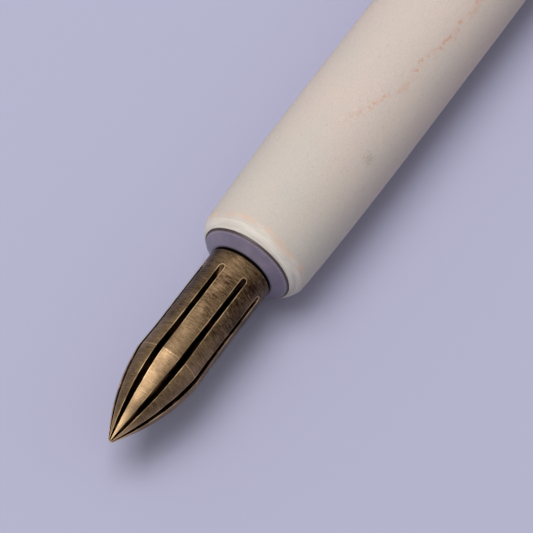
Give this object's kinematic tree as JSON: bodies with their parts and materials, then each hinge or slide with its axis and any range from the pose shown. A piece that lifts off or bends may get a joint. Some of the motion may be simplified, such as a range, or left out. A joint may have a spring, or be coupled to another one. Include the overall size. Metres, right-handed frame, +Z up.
{
  "type": "dip pen",
  "caption": "Dip pen with a solid fluted brass nib that pushes into a collar and can be swapped, and a pale chalky ceramic barrel that swells from its rounded mouth and tapers to a plugged tail.",
  "frame": {"origin": "under the middle of the pen, on the surface that its barrel rests on; the pen's axis runs along X, 6 mm above it", "axes": "+X from the nib's point to the tail, +Z up from the surface, +Y to the side"},
  "size_m": [0.14, 0.012, 0.012],
  "materials": {
    "nib_brass": "turned and darkened with age, worn bright on the flute edges and the point",
    "liner_brass": "drawn tube, not polished",
    "mauve_plastic": "satin",
    "ring_rubber": "smooth",
    "barrel_ceramic": "matte and chalky, with faint rubbed colour"
  },
  "bodies": {
    "holder": {"barrel": "barrel_ceramic", "collar": "mauve_plastic", "liner_tube": "liner_brass", "tail_plug": "mauve_plastic"},
    "grip_rings": {"grip_ring_front": "ring_rubber", "grip_ring_rear": "ring_rubber"},
    "nib": {"nib": "nib_brass"}
  },
  "joints": [
    {"name": "nib_turn", "type": "hinge", "parent": "holder", "child": "grip_rings", "pos_m": [-0.0455, 0, 0.006], "axis": [-1, 0, 0], "continuous": true},
    {"name": "nib_pull", "type": "slide", "parent": "grip_rings", "child": "nib", "axis": [-1, 0, 0], "range_m": [0, 0.014]}
  ]
}
